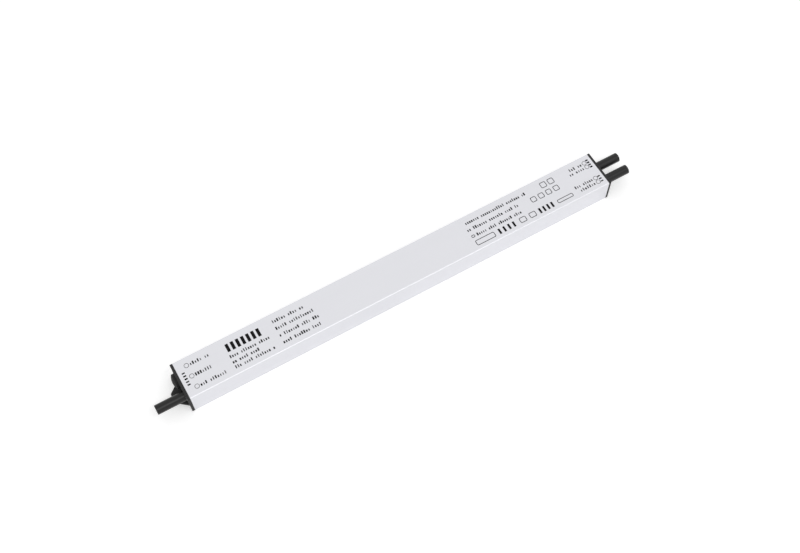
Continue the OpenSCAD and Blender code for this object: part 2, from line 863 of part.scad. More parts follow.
module bridge_rectifier() {
    low = board_top + disc_standoff;
    color("#2e2e30") {
        block(
            [bridge_x - bridge_length / 2, lane - bridge_thickness / 2, low],
            [bridge_x + bridge_length / 2, lane + bridge_thickness / 2, low + bridge_height]
        );
        for (spot = bridge_leads) lead(spot, low + lead_embed);
    }
}

module boost_choke_core() {
    color("dimgray") ferrite_core(boost_stage, boost_length);
}

module boost_choke_bobbin() {
    color("#3a3a3c") bobbin(boost_stage, boost_length);
}

module boost_choke_winding() {
    ends = bobbin_ends(boost_length);
    color("peru") coil(
        stage_start(boost_stage) + ends[0] + bobbin_flange + winding_clearance,
        ends[1] - ends[0] - 2 * (bobbin_flange + winding_clearance)
    );
}

// Storage capacitors lie side by side, with their crimped ends towards the input
module storage_capacitors() {
    start = bulk_lead_x + bulk_drop;
    radius = bulk_diameter / 2;
    color("#394150") for (side = [-1, 1]) {
        translate([start, side * bulk_y, bulk_axis]) rotate([0, 90, 0]) rotate_extrude() polygon([
            [0, 0], [radius, 0], [radius, capacitor_crimp_offset],
            [radius - capacitor_crimp, capacitor_crimp_offset + capacitor_crimp],
            [radius, capacitor_crimp_offset + 2 * capacitor_crimp],
            [radius, bulk_length], [0, bulk_length]
        ]);
        for (spot = pair_across(bulk_lead_x, side * bulk_y, short_lead_pitch)) {
            bent_wire(spot[0], spot[1], bulk_axis, start + lead_embed, lead_diameter);
            lead(spot, board_top);
        }
    }
}

module resonant_capacitors() {
    size = [resonant_length, resonant_width, resonant_height];
    color("firebrick") for (s = [-1, 1]) boxed_part(resonant_x, s * lane, size, resonant_lead_pitch);
}

module transformer_core() {
    color("dimgray") ferrite_core(transformer_stage, transformer_length);
}

// The middle flange keeps the mains and lamp windings apart
transformer_split = transformer_length / 2 - bobbin_flange / 2;
transformer_ends = bobbin_ends(transformer_length);
transformer_coil = transformer_split - transformer_ends[0] - bobbin_flange - 2 * winding_clearance;

module transformer_bobbin() {
    color("#3a3a3c") bobbin(transformer_stage, transformer_length, [transformer_split]);
}

module transformer_primary() {
    start = transformer_ends[0] + bobbin_flange + winding_clearance;
    color("peru") coil(stage_start(transformer_stage) + start, transformer_coil);
}

module transformer_secondary() {
    start = transformer_split + bobbin_flange + winding_clearance;
    color("gold") coil(stage_start(transformer_stage) + start, transformer_coil);
}

module output_capacitors() {
    color("#394150") for (spot = output_cap_spots) {
        translate([spot[0], spot[1], board_top]) cylinder(d = output_cap_diameter, h = output_cap_height);
        for (hole = pair_along(spot[0], spot[1], output_lead_pitch)) lead(hole);
    }
}

// Drum core: a spool of ferrite that stands on the board
module output_choke_core() {
    rim = drum_diameter / 2;
    waist = drum_core_diameter / 2;
    color("dimgray") translate([stage_middle(drum_stage), 0, board_top]) rotate_extrude() polygon([
        [0, 0], [rim, 0], [rim, drum_flange], [waist, drum_flange],
        [waist, drum_height - drum_flange], [rim, drum_height - drum_flange],
        [rim, drum_height], [0, drum_height]
    ]);
    color("dimgray") for (spot = drum_leads) lead(spot);
}

module output_choke_winding() {
    height = drum_height - 2 * (drum_flange + winding_clearance);
    low = board_top + drum_flange + winding_clearance;
    color("peru") translate([stage_middle(drum_stage), 0, low]) difference() {
        cylinder(d = drum_diameter - drum_flange, h = height);
        translate([0, 0, -cut_overrun])
            cylinder(d = drum_core_diameter + 2 * winding_clearance, h = height + 2 * cut_overrun);
    }
}

module optocouplers() {
    color("#2e2e30") for (x = opto_xs) {
        block(
            [x - opto_length / 2, lane - opto_width / 2, board_top],
            [x + opto_length / 2, lane + opto_width / 2, board_top + opto_height]
        );
    }
    color("#2e2e30") for (spot = opto_leads) lead(spot);
}

module dimming_controller() {
    count = floor(controller_side / controller_lead_pitch);
    x = stage_middle(dimming_stage);
    color("#2e2e30") chip(x, -lane, controller_side, controller_side, controller_lead_pitch, count, 1);
}

module control_chips() {
    count = floor(chip_length / chip_lead_pitch);
    color("#2e2e30") for (x = chip_xs) chip(x, 0, chip_length, chip_width, chip_lead_pitch, count, -1);
}

module power_transistors() {
    color("#2e2e30") for (x = transistor_xs) transistor(x);
}

module output_rectifiers() {
    color("#2e2e30") for (x = rectifier_xs) transistor(x);
}

module thermal_pads() {
    color("lightsteelblue") for (x = concat(transistor_xs, rectifier_xs)) thermal_pad(x);
}

// Potting: fills the tube between the spigots around the board and everything on it
module chip_pocket(x, y, length, width, side) {
    half = [length / 2, width / 2 + chip_lead_reach];
    low = side > 0 ? board_top : board_bottom - chip_height;
    block([x - half[0], y - half[1], low], [x + half[0], y + half[1], low + chip_height]);
}

module wound_pocket(stage, length) {
    start = stage_start(stage);
    block(
        [start, -core_width / 2, board_top],
        [start + length, core_width / 2, coil_axis + coil_diameter / 2]
    );
}

module cable_pocket(y, cores, landings, core_diameter) {
    along_x(jacket_start, -jacket_start) translate([y, cable_height]) circle(d = cable_diameter);
    along_x(-spigot_depth - anchor_length, spigot_depth + anchor_length)
        translate([y, cable_height]) circle(d = cable_bore + 2 * anchor_wall);
    for (i = [0:len(cores) - 1]) {
        core = cores[i];
        hole_x = wire_hole_x - landings[i];
        bent_wire(hole_x, y + core[0], cable_height + core[1], jacket_start + cut_overrun, core_diameter);
        translate([hole_x, y + core[0], board_bottom - lead_tail])
            cylinder(d = copper_diameter, h = lead_tail + cut_overrun);
    }
}

module potting_compound() {
    color("#4b4f55") difference() {
        along_x(spigot_depth - case_half, case_length - 2 * spigot_depth) cavity_outline(0);
        block(
            [-board_length / 2, -inner_half, board_bottom],
            [board_length / 2, inner_half, board_top]
        );
        at_input() cable_pocket(-cable_y, mains_cores, mains_landings, mains_core_diameter);
        at_output() cable_pocket(cable_y, pair_cores, [0, 0], pair_core_diameter);
        at_output() cable_pocket(-cable_y, pair_cores, [0, 0], pair_core_diameter);
        at_input() along_x(-spigot_depth - plug_lip, plug_lip) translate([cable_y, cable_height])
            circle(d = cable_bore + 2 * plug_lip_height);
        fuse();
        varistor();
        inrush_thermistor();
        earth_capacitors();
        line_capacitors();
        translate([ring_x, 0, board_top]) cylinder(
            r = ring_reach + winding_clearance,
            h = part_standoff + ring_height + 2 * ring_winding + winding_clearance
        );
        for (spot = ring_leads) lead(spot);
        bridge_rectifier();
        wound_pocket(boost_stage, boost_length);
        wound_pocket(transformer_stage, transformer_length);
        for (spot = bobbin_pins(boost_stage, boost_length)) lead(spot);
        for (spot = bobbin_pins(transformer_stage, transformer_length)) lead(spot);
        storage_capacitors();
        resonant_capacitors();
        output_capacitors();
        translate([stage_middle(drum_stage), 0, board_top]) cylinder(d = drum_diameter, h = drum_height);
        for (spot = drum_leads) lead(spot);
        optocouplers();
        chip_pocket(stage_middle(dimming_stage), -lane, controller_side, controller_side, 1);
        for (x = chip_xs) chip_pocket(x, 0, chip_length, chip_width, -1);
        power_transistors();
        output_rectifiers();
        thermal_pads();
    }
}

case_extrusion();
input_end_cap();
output_end_cap();
input_gasket();
output_gasket();
input_cap_screws();
output_cap_screws();
blank_plug();
cable_anchors();
input_cable_jacket();
input_live_wire();
input_neutral_wire();
input_earth_wire();
input_conductors();
output_cable_jacket();
output_positive_wire();
output_negative_wire();
output_conductors();
dimming_cable_jacket();
dimming_wire_one();
dimming_wire_two();
dimming_conductors();
circuit_board();
fuse();
varistor();
inrush_thermistor();
earth_capacitors();
line_capacitors();
line_choke_core();
line_choke_windings();
bridge_rectifier();
boost_choke_core();
boost_choke_bobbin();
boost_choke_winding();
storage_capacitors();
resonant_capacitors();
transformer_core();
transformer_bobbin();
transformer_primary();
transformer_secondary();
output_capacitors();
output_choke_core();
output_choke_winding();
optocouplers();
dimming_controller();
control_chips();
power_transistors();
output_rectifiers();
thermal_pads();
potting_compound();
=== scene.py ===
"""Looks for a slim sealed LED driver: a finish for every piece, the print on the case, copper strands in
the cables, turns of wire in the coils, and a plain white studio seen by the photograph's camera."""
import json
import math

import bpy
from mathutils import Euler, Matrix, Vector


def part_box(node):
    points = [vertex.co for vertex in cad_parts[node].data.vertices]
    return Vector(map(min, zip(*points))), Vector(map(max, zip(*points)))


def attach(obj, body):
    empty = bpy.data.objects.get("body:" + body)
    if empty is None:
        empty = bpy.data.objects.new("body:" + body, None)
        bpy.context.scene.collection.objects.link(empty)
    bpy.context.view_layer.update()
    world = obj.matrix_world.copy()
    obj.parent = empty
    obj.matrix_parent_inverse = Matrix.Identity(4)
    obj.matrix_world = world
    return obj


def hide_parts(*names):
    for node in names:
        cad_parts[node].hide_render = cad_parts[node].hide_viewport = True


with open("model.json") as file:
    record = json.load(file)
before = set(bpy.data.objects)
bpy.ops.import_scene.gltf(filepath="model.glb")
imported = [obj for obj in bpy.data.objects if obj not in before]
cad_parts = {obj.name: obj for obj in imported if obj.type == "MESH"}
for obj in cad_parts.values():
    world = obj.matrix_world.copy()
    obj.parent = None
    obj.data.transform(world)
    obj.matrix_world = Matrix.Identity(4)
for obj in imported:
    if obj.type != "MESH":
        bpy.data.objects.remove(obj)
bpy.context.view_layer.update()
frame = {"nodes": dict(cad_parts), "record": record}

MM = 0.001
BODY = "root"
CASE_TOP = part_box("case_extrusion")[1].z
BOARD_LOW, BOARD_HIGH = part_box("circuit_board")


# Node trees

class Graph:
    """A node tree under construction."""

    def __init__(self, tree):
        self.tree = tree

    def feed(self, socket, value):
        """Links an output to a socket, or sets the socket to a plain value."""
        if isinstance(value, bpy.types.NodeSocket):
            self.tree.links.new(value, socket)
        else:
            socket.default_value = value

    def node(self, kind, inputs=None, **settings):
        """Adds a node, feeds its inputs by name or number, and gives back its outputs."""
        made = self.tree.nodes.new(kind)
        for name, value in settings.items():
            setattr(made, name, value)
        for name, value in (inputs or {}).items():
            self.feed(made.inputs[name], value)
        return made.outputs

    def math(self, operation, first, second=0.0):
        return self.node("ShaderNodeMath", {0: first, 1: second}, operation=operation)["Value"]

    def vector(self, x, y, z):
        return self.node("ShaderNodeCombineXYZ", {"X": x, "Y": y, "Z": z})["Vector"]


class Finish(Graph):
    """A material on object coordinates, which are in metres."""

    def __init__(self, name):
        self.material = bpy.data.materials.new(name)
        self.material.use_nodes = True
        super().__init__(self.material.node_tree)
        self.surface = self.tree.nodes["Principled BSDF"].inputs
        self.place = self.node("ShaderNodeTexCoord")["Object"]

    def set(self, **sockets):
        """Sets or links the surface's sockets, named in lower case."""
        for name, value in sockets.items():
            self.feed(self.surface[name.replace("_", " ").title().replace("Ior", "IOR")], value)

    def noise(self, grain, stretch=(1, 1, 1), detail=2.0):
        """Soft noise with grains of that size, drawn out along X, Y and Z by stretch."""
        scale = [1 / (grain * pull) for pull in stretch]
        place = self.node("ShaderNodeMapping", {"Vector": self.place, "Scale": scale})["Vector"]
        return self.node("ShaderNodeTexNoise", {"Vector": place, "Scale": 1.0, "Detail": detail})["Fac"]

    def spread(self, noise, low, high):
        """Maps the busy middle of a noise's range onto low to high."""
        limits = {"Value": noise, "From Min": 0.25, "From Max": 0.75, "To Min": low, "To Max": high}
        return self.node("ShaderNodeMapRange", limits)["Result"]

    def blend(self, share, first, second):
        """Colour that goes from first to second with share."""
        ends = {"Factor": share, "A": (*first, 1), "B": (*second, 1)}
        return self.node("ShaderNodeMix", ends, data_type="RGBA")["Result"]

    def dents(self, height, depth):
        """Bumps of that depth from a height between 0 and 1."""
        bump = self.node("ShaderNodeBump", {"Strength": 1.0, "Distance": depth, "Height": height})
        self.feed(self.surface["Normal"], bump["Normal"])


def scaled(colour, factor):
    return tuple(channel * factor for channel in colour)


def textured(name, colour, roughness, grain, depth, stretch=(1, 1, 1), vary=0.12, **sockets):
    """A finish whose colour drifts a little, with a fine grain in its gloss and in its surface."""
    grains_in_drift = 14
    gloss_change = 0.07
    finish = Finish(name)
    drift = finish.spread(finish.noise(grain * grains_in_drift, stretch), 0, 1)
    fine = finish.noise(grain, stretch)
    finish.set(
        base_color=finish.blend(drift, scaled(colour, 1 - vary), scaled(colour, 1 + vary)),
        roughness=finish.spread(fine, roughness - gloss_change, roughness + gloss_change),
        **sockets,
    )
    finish.dents(fine, depth)
    return finish.material


# Finishes

def anodised_aluminium():
    """Matte anodised extrusion: die lines along the tube, a fine etched grain and a faint cloudiness."""
    silver = (0.733, 0.735, 0.768)
    tone_change = 0.02
    line_share = 0.7
    finish = Finish("anodised_aluminium")
    lines = finish.noise(0.35 * MM, stretch=(900, 1, 1), detail=3.0)
    grain = finish.noise(0.12 * MM, detail=1.0)
    cloud = finish.noise(30 * MM, stretch=(3, 1, 1))
    tone = finish.math("ADD", finish.spread(lines, -0.35, 0.35), finish.spread(cloud, 0.3, 0.7))
    finish.set(
        base_color=finish.blend(tone, scaled(silver, 1 - tone_change), scaled(silver, 1 + tone_change)),
        metallic=1.0,
        roughness=finish.spread(grain, 0.36, 0.46),
    )
    ridges = finish.math("MULTIPLY", lines, line_share)
    etching = finish.math("MULTIPLY", grain, 1 - line_share)
    finish.dents(finish.math("ADD", ridges, etching), 0.003 * MM)
    return finish.material


def moulded_plastic():
    """Black glass-filled plastic with the fine pitted skin of a spark-eroded mould."""
    finish = Finish("moulded_plastic")
    pits = finish.noise(0.32 * MM, detail=4.0)
    drift = finish.spread(finish.noise(5 * MM), 0, 1)
    finish.set(
        base_color=finish.blend(drift, (0.028, 0.028, 0.0285), (0.033, 0.033, 0.0335)),
        roughness=finish.spread(pits, 0.58, 0.74),
        specular_ior_level=0.22,
    )
    finish.dents(pits, 0.03 * MM)
    return finish.material


def jacket_rubber():
    """Black cable rubber: drawn lines along the cable over a satin skin with a little dust in it."""
    finish = Finish("jacket_rubber")
    lines = finish.noise(0.22 * MM, stretch=(40, 1, 1), detail=3.0)
    dust = finish.spread(finish.noise(1.6 * MM, detail=3.0), 0, 1)
    finish.set(
        base_color=finish.blend(dust, (0.003, 0.003, 0.0031), (0.005, 0.005, 0.0052)),
        roughness=finish.spread(lines, 0.28, 0.36),
        specular_ior_level=0.38,
    )
    finish.dents(lines, 0.005 * MM)
    return finish.material


def insulation(name, colour):
    return textured(name, colour, 0.36, 0.2 * MM, 0.004 * MM, stretch=(20, 1, 1))


def striped_insulation():
    """Yellow insulation with a green stripe along its upper and lower sides."""
    yellow = (0.72, 0.55, 0.02)
    green = (0.04, 0.25, 0.045)
    stripe_share = 0.44
    low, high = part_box("input_earth_wire")
    half_stripe = stripe_share * (high.y - low.y) / 2
    finish = Finish("striped_insulation")
    y = finish.node("ShaderNodeSeparateXYZ", {"Vector": finish.place})["Y"]
    aside = finish.math("ABSOLUTE", finish.math("SUBTRACT", y, (low.y + high.y) / 2))
    lines = finish.noise(0.2 * MM, stretch=(20, 1, 1))
    finish.set(
        base_color=finish.blend(finish.math("LESS_THAN", aside, half_stripe), yellow, green),
        roughness=finish.spread(lines, 0.29, 0.43),
    )
    finish.dents(lines, 0.004 * MM)
    return finish.material


def solder_mask():
    """Green mask over copper, where the tracks stand up as lighter lanes along the board."""
    track_level = 0.52
    finish = Finish("solder_mask")
    lanes = finish.noise(1.6 * MM, stretch=(12, 1, 1), detail=0.0)
    track = finish.math("GREATER_THAN", lanes, track_level)
    fine = finish.noise(0.15 * MM)
    finish.set(
        base_color=finish.blend(track, (0.012, 0.075, 0.028), (0.03, 0.15, 0.05)),
        roughness=finish.spread(fine, 0.26, 0.36),
    )
    finish.dents(track, 0.03 * MM)
    return finish.material


def rubber(name, colour, roughness, **sockets):
    return textured(name, colour, roughness, 0.3 * MM, 0.01 * MM, **sockets)


def metal(name, colour, roughness, grain):
    return textured(name, colour, roughness, grain, 0.002 * MM, vary=0.05, metallic=1.0)


def coated(name, colour, roughness):
    return textured(name, colour, roughness, 0.25 * MM, 0.006 * MM)


FINISHES = {
    "case_aluminium": anodised_aluminium(),
    "cap_plastic": moulded_plastic(),
    "gasket_rubber": rubber("gasket_sheet", (0.008, 0.008, 0.008), 0.75),
    "plug_rubber": rubber("plug_rubber", (0.02, 0.02, 0.0202), 0.66, specular_ior_level=0.25),
    "cable_jacket": jacket_rubber(),
    "screw_steel": metal("zinc_plate", (0.62, 0.63, 0.65), 0.3, 0.1 * MM),
    "wire_brown": insulation("brown_insulation", (0.13, 0.045, 0.018)),
    "wire_blue": insulation("blue_insulation", (0.02, 0.09, 0.42)),
    "wire_purple": insulation("purple_insulation", (0.17, 0.06, 0.28)),
    "wire_grey": insulation("grey_insulation", (0.22, 0.22, 0.23)),
    "wire_earth": striped_insulation(),
    "copper": metal("bright_copper", (0.78, 0.38, 0.22), 0.28, 0.1 * MM),
    "board_laminate": solder_mask(),
    "ferrite": coated("grey_ferrite", (0.045, 0.045, 0.047), 0.55),
    "winding": metal("enamelled_wire", (0.52, 0.19, 0.07), 0.25, 0.3 * MM),
    "black_moulding": coated("black_epoxy", (0.02, 0.02, 0.021), 0.5),
    "disc_coating": coated("blue_coating", (0.03, 0.1, 0.3), 0.3),
    "thermistor_coating": coated("green_coating", (0.02, 0.06, 0.015), 0.35),
    "film_box": coated("yellow_box", (0.5, 0.33, 0.03), 0.4),
    "resonant_box": coated("red_box", (0.35, 0.03, 0.02), 0.35),
    "capacitor_sleeve": coated("navy_sleeve", (0.02, 0.025, 0.05), 0.3),
    "anchor_steel": metal("crimped_steel", (0.6, 0.6, 0.62), 0.35, 0.1 * MM),
    "pad_silicone": coated("soft_pad", (0.22, 0.32, 0.45), 0.75),
    "potting_silicone": coated("grey_potting", (0.05, 0.052, 0.058), 0.6),
}
INK = textured("print_ink", (0.004, 0.004, 0.0043), 0.6, 0.08 * MM, 0.003 * MM, specular_ior_level=0.1)


def dress_cad_nodes():
    for subpart in frame["record"]["subparts"]:
        materials = frame["nodes"][subpart["node"]].data.materials
        materials.clear()
        materials.append(FINISHES[subpart["material_slot"]])


dress_cad_nodes()


# Pieces grown by geometry nodes

WIRE_SIDES = 8


class Grower(Graph):
    """A geometry node tree with named inputs, fed with points and edges that it takes as curves."""

    def __init__(self, name, floats=(), whole=()):
        super().__init__(bpy.data.node_groups.new(name, "GeometryNodeTree"))
        sockets = {"Geometry": "NodeSocketGeometry", "Material": "NodeSocketMaterial"}
        sockets.update({label: "NodeSocketFloat" for label in floats})
        sockets.update({label: "NodeSocketInt" for label in whole})
        for label, kind in sockets.items():
            self.tree.interface.new_socket(label, in_out="INPUT", socket_type=kind)
        self.tree.interface.new_socket("Geometry", in_out="OUTPUT", socket_type="NodeSocketGeometry")
        self.inputs = self.node("NodeGroupInput")
        self.curves = self.node("GeometryNodeMeshToCurve", {"Mesh": self.inputs["Geometry"]})["Curve"]

    def end(self, geometry):
        """Makes the result real geometry with the material on it."""
        real = self.node("GeometryNodeRealizeInstances", {"Geometry": geometry})["Geometry"]
        paint = {"Geometry": real, "Material": self.inputs["Material"]}
        painted = self.node("GeometryNodeSetMaterial", paint)["Geometry"]
        self.node("NodeGroupOutput", {"Geometry": painted})

    def grow(self, name, points, edges, values):
        """A finished piece on the body, as a plain mesh."""
        seed = bpy.data.meshes.new(name)
        seed.from_pydata(points, edges, [])
        piece = bpy.data.objects.new(name, seed)
        bpy.context.scene.collection.objects.link(piece)
        modifier = piece.modifiers.new(name, "NODES")
        modifier.node_group = self.tree
        for item in self.tree.interface.items_tree:
            if item.in_out == "INPUT" and item.name in values:
                modifier[item.identifier] = values[item.name]
        grown = piece.evaluated_get(bpy.context.evaluated_depsgraph_get())
        piece.data = bpy.data.meshes.new_from_object(grown)
        piece.modifiers.clear()
        bpy.data.meshes.remove(seed)
        piece.data.name = name
        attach(piece, BODY)
        return piece


def bar_grower():
    """Rows of plain upright bars of uneven width and two heights, with a gap after every few of them."""
    tall_chance = 0.35
    golden_share = (math.sqrt(5) - 1) / 2
    sizes = ["Pitch", "Width", "Height", "Thickness", "Narrowest", "Lowest", "Gap share"]
    tree = Grower("bar_rows", sizes, ["Seed"])
    inputs = tree.inputs
    seed = inputs["Seed"]
    steps = {"Curve": tree.curves, "Length": inputs["Pitch"]}
    evened = tree.node("GeometryNodeResampleCurve", steps, mode="LENGTH")["Curve"]
    spots = tree.node("GeometryNodeCurveToPoints", {"Curve": evened}, mode="EVALUATED")
    count = tree.math("ADD", tree.node("GeometryNodeInputIndex")["Index"], seed)
    beat = tree.math("FRACT", tree.math("MULTIPLY", count, golden_share))
    cut = {"Geometry": spots["Points"], "Selection": tree.math("LESS_THAN", beat, inputs["Gap share"])}
    kept = tree.node("GeometryNodeDeleteGeometry", cut, domain="POINT")["Geometry"]
    size = tree.vector(inputs["Width"], inputs["Height"], inputs["Thickness"])
    block = tree.node("GeometryNodeMeshCube", {"Size": size})["Mesh"]
    raised = tree.vector(0.0, tree.math("MULTIPLY", inputs["Height"], 0.5), 0.0)
    bar = tree.node("GeometryNodeTransform", {"Geometry": block, "Translation": raised})["Geometry"]
    limits = {"Min": inputs["Narrowest"], "Max": 1.0, "Seed": seed}
    width = tree.node("FunctionNodeRandomValue", limits, data_type="FLOAT")["Value"]
    chance = {"Probability": tall_chance, "Seed": tree.math("ADD", seed, 1)}
    tall = tree.node("FunctionNodeRandomValue", chance, data_type="BOOLEAN")["Value"]
    height = tree.math("MAXIMUM", tall, inputs["Lowest"])
    along = {"Vector": spots["Tangent"]}
    turn = tree.node("FunctionNodeAlignRotationToVector", along, axis="X", pivot_axis="Z")["Rotation"]
    placed = {"Points": kept, "Instance": bar, "Rotation": turn, "Scale": tree.vector(width, height, 1.0)}
    tree.end(tree.node("GeometryNodeInstanceOnPoints", placed)["Instances"])
    return tree


def outline_grower():
    """Flat lines of ink round closed loops, with rounded corners."""
    corner_steps = 10
    tree = Grower("ink_outlines", ["Line", "Corner radius", "Thickness"])
    inputs = tree.inputs
    corners = {
        "Curve": tree.curves,
        "Count": corner_steps,
        "Radius": inputs["Corner radius"],
        "Limit Radius": True,
    }
    rounded = tree.node("GeometryNodeFilletCurve", corners, mode="POLY")["Curve"]
    level = tree.node("GeometryNodeSetCurveNormal", {"Curve": rounded}, mode="Z_UP")["Curve"]
    flat = {"Width": inputs["Line"], "Height": inputs["Thickness"]}
    profile = tree.node("GeometryNodeCurvePrimitiveQuadrilateral", flat)["Curve"]
    tree.end(tree.node("GeometryNodeCurveToMesh", {"Curve": level, "Profile Curve": profile})["Mesh"])
    return tree


def strand_grower():
    """Nineteen strands, three rings of six round a middle one, twisted along each path."""
    rings = ((1, 0), (math.sqrt(3), math.pi / 6), (2, 0))
    tree = Grower("twisted_strands", ["Strand", "Lay", "Step"])
    inputs = tree.inputs
    strand = inputs["Strand"]
    steps = {"Curve": tree.curves, "Length": inputs["Step"]}
    evened = tree.node("GeometryNodeResampleCurve", steps, mode="LENGTH")["Curve"]
    turns = tree.math("DIVIDE", tree.node("GeometryNodeSplineParameter")["Length"], inputs["Lay"])
    tilt = {"Curve": evened, "Tilt": tree.math("MULTIPLY", turns, 2 * math.pi)}
    path = tree.node("GeometryNodeSetCurveTilt", tilt)["Curve"]
    section = tree.tree.nodes.new("GeometryNodeJoinGeometry")
    tree.feed(section.inputs["Geometry"], tree.node("GeometryNodePoints")["Points"])
    for reach, turned in rings:
        ring = {"Vertices": 6, "Radius": tree.math("MULTIPLY", strand, reach)}
        spots = {"Geometry": tree.node("GeometryNodeMeshCircle", ring)["Mesh"], "Rotation": (0, 0, turned)}
        tree.feed(section.inputs["Geometry"], tree.node("GeometryNodeTransform", spots)["Geometry"])
    wire = {"Resolution": WIRE_SIDES, "Radius": tree.math("MULTIPLY", strand, 0.5)}
    placed = {
        "Points": section.outputs["Geometry"],
        "Instance": tree.node("GeometryNodeCurvePrimitiveCircle", wire)["Curve"],
    }
    bundle = tree.node("GeometryNodeInstanceOnPoints", placed)["Instances"]
    profile = tree.node("GeometryNodeRealizeInstances", {"Geometry": bundle})["Geometry"]
    swept = {"Curve": path, "Profile Curve": profile, "Fill Caps": True}
    tree.end(tree.node("GeometryNodeCurveToMesh", swept)["Mesh"])
    return tree


def wire_grower():
    """Round wire along each path."""
    tree = Grower("round_wire", ["Wire"])
    ring = {"Resolution": WIRE_SIDES, "Radius": tree.math("MULTIPLY", tree.inputs["Wire"], 0.5)}
    profile = tree.node("GeometryNodeCurvePrimitiveCircle", ring)["Curve"]
    swept = {"Curve": tree.curves, "Profile Curve": profile, "Fill Caps": True}
    tree.end(tree.node("GeometryNodeCurveToMesh", swept)["Mesh"])
    return tree


def joined(paths):
    """Points and edges of several paths."""
    points = []
    edges = []
    for path in paths:
        edges += [(len(points) + i, len(points) + i + 1) for i in range(len(path) - 1)]
        points += path
    return points, edges


# Print on top of the case: rows of bars and plain outlines that spell nothing, places in millimetres

INK_THICKNESS = 0.03 * MM
INK_SUNK = INK_THICKNESS / 4
INK_MIDDLE = CASE_TOP + INK_THICKNESS / 2 - INK_SUNK
BARS = bar_grower()
OUTLINES = outline_grower()


def ink_point(x, y):
    return x * MM, y * MM, INK_MIDDLE


def print_rows(name, rows, pitch, width, height, narrowest, lowest, gap_share, seed):
    """Rows of bars from start to end, which lie at half their height, with their feet on the right."""
    points = []
    for start_x, start_y, end_x, end_y in rows:
        along = Vector((end_x - start_x, end_y - start_y)).normalized()
        base = Vector((along.y, -along.x)) * height / 2
        points.append(ink_point(start_x + base.x, start_y + base.y))
        points.append(ink_point(end_x + base.x, end_y + base.y))
    edges = [(i, i + 1) for i in range(0, len(points), 2)]
    BARS.grow(name, points, edges, {
        "Pitch": pitch * MM, "Width": width * MM, "Height": height * MM, "Thickness": INK_THICKNESS,
        "Narrowest": narrowest, "Lowest": lowest, "Gap share": gap_share, "Seed": seed, "Material": INK,
    })


def print_boxes(name, boxes, line, radius):
    """Outlines of boxes given by middle, width and height."""
    points = []
    edges = []
    for x, y, width, height in boxes:
        first = len(points)
        for side_x, side_y in ((-1, -1), (1, -1), (1, 1), (-1, 1)):
            points.append(ink_point(x + side_x * width / 2, y + side_y * height / 2))
        edges += [(first + i, first + (i + 1) % 4) for i in range(4)]
    OUTLINES.grow(name, points, edges, {
        "Line": line * MM, "Corner radius": radius * MM, "Thickness": INK_THICKNESS, "Material": INK,
    })


def print_on_case():
    print_rows(
        "small_bars",
        [
            (-160, 8.5, -147.2, 8.5), (-160, -0.4, -149.2, -0.4), (-160, -9, -140.2, -9),
            (-134, -0.6, -105, -0.6), (-134, -5.1, -115, -5.1), (-134, -9.3, -105, -9.3),
            (-97, 8.6, -74, 8.6), (-97, 2.8, -69, 2.8), (-97, -3.1, -67.6, -3.1), (-97, -9, -69, -9),
            (59, 8.9, 111, 8.9), (59, 3.1, 101.4, 3.1), (63.6, -2.9, 100.4, -2.9),
            (151.6, 9.1, 161.2, 9.1), (149.8, 5.5, 161.2, 5.5),
            (147, -5.8, 161.2, -5.8), (149.6, -9.6, 161.2, -9.6),
        ],
        pitch=1.66, width=1.2, height=2.5, narrowest=0.45, lowest=0.68, gap_share=0.13, seed=42,
    )
    print_rows(
        "column_bars",
        [(-167.4, 4.2, -167.4, -5.2), (167.7, 10.4, 167.7, 4), (167.7, -5.6, 167.7, -10.3)],
        pitch=2.1, width=1.3, height=2.2, narrowest=0.7, lowest=1.0, gap_share=0.0, seed=2,
    )
    print_rows(
        "large_bars",
        [(78.8, -9.1, 91, -9.1), (113.7, -9.1, 124.3, -9.1)],
        pitch=3.45, width=1.6, height=4.6, narrowest=1.0, lowest=1.0, gap_share=0.0, seed=5,
    )
    print_rows(
        "heading_bars",
        [(-132.8, 6.3, -109.2, 6.3)],
        pitch=3.9, width=2.3, height=6.4, narrowest=1.0, lowest=1.0, gap_share=0.0, seed=1,
    )
    ring = 3.2
    print_boxes(
        "terminal_rings",
        [(-163.1, y, ring, ring) for y in (8.5, -0.3, -8.9)]
        + [(164.7, y, ring, ring) for y in (9.1, 5.4, -6, -9.7)],
        line=0.32, radius=ring / 2,
    )
    print_boxes(
        "outline_marks",
        [
            (66.7, -9.1, 15.4, 4), (98.8, -9.1, 5, 4), (107.2, -9.1, 5, 4), (60, -2.9, 2.4, 1.8),
            (127.8, 8.6, 4.4, 4.4), (134.4, 8.6, 4.4, 4.4), (135.6, -9.3, 13, 2.6),
            (114.8, 1.5, 4, 4), (121.4, 1.5, 4, 4), (128, 1.5, 4, 4), (134.6, 1.5, 4, 4),
        ],
        line=0.5, radius=0.8,
    )


print_on_case()


# Copper strands in place of the plain conductors

STRAND = 0.215 * MM
STRAND_LAY = 16 * MM
STRAND_STEP = 1.2 * MM
STRANDS = strand_grower()


def core_path(wire, tail):
    """Middle of a core: along the cable from its cut end, round the bend and down to the tail's height."""
    bend_steps = 10
    low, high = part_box(wire)
    radius = (high.y - low.y) / 2
    y = (low.y + high.y) / 2
    drop = high.z - radius - BOARD_HIGH.z
    side = math.copysign(1, low.x)
    end, hole = (high.x, low.x + radius) if side > 0 else (low.x, high.x - radius)
    points = [(end, y, BOARD_HIGH.z + drop)]
    for i in range(bend_steps + 1):
        angle = math.pi / 2 * i / bend_steps
        x = hole + side * drop * (1 - math.sin(angle))
        points.append((x, y, BOARD_HIGH.z + drop * math.cos(angle)))
    points.append((hole, y, tail))
    return points


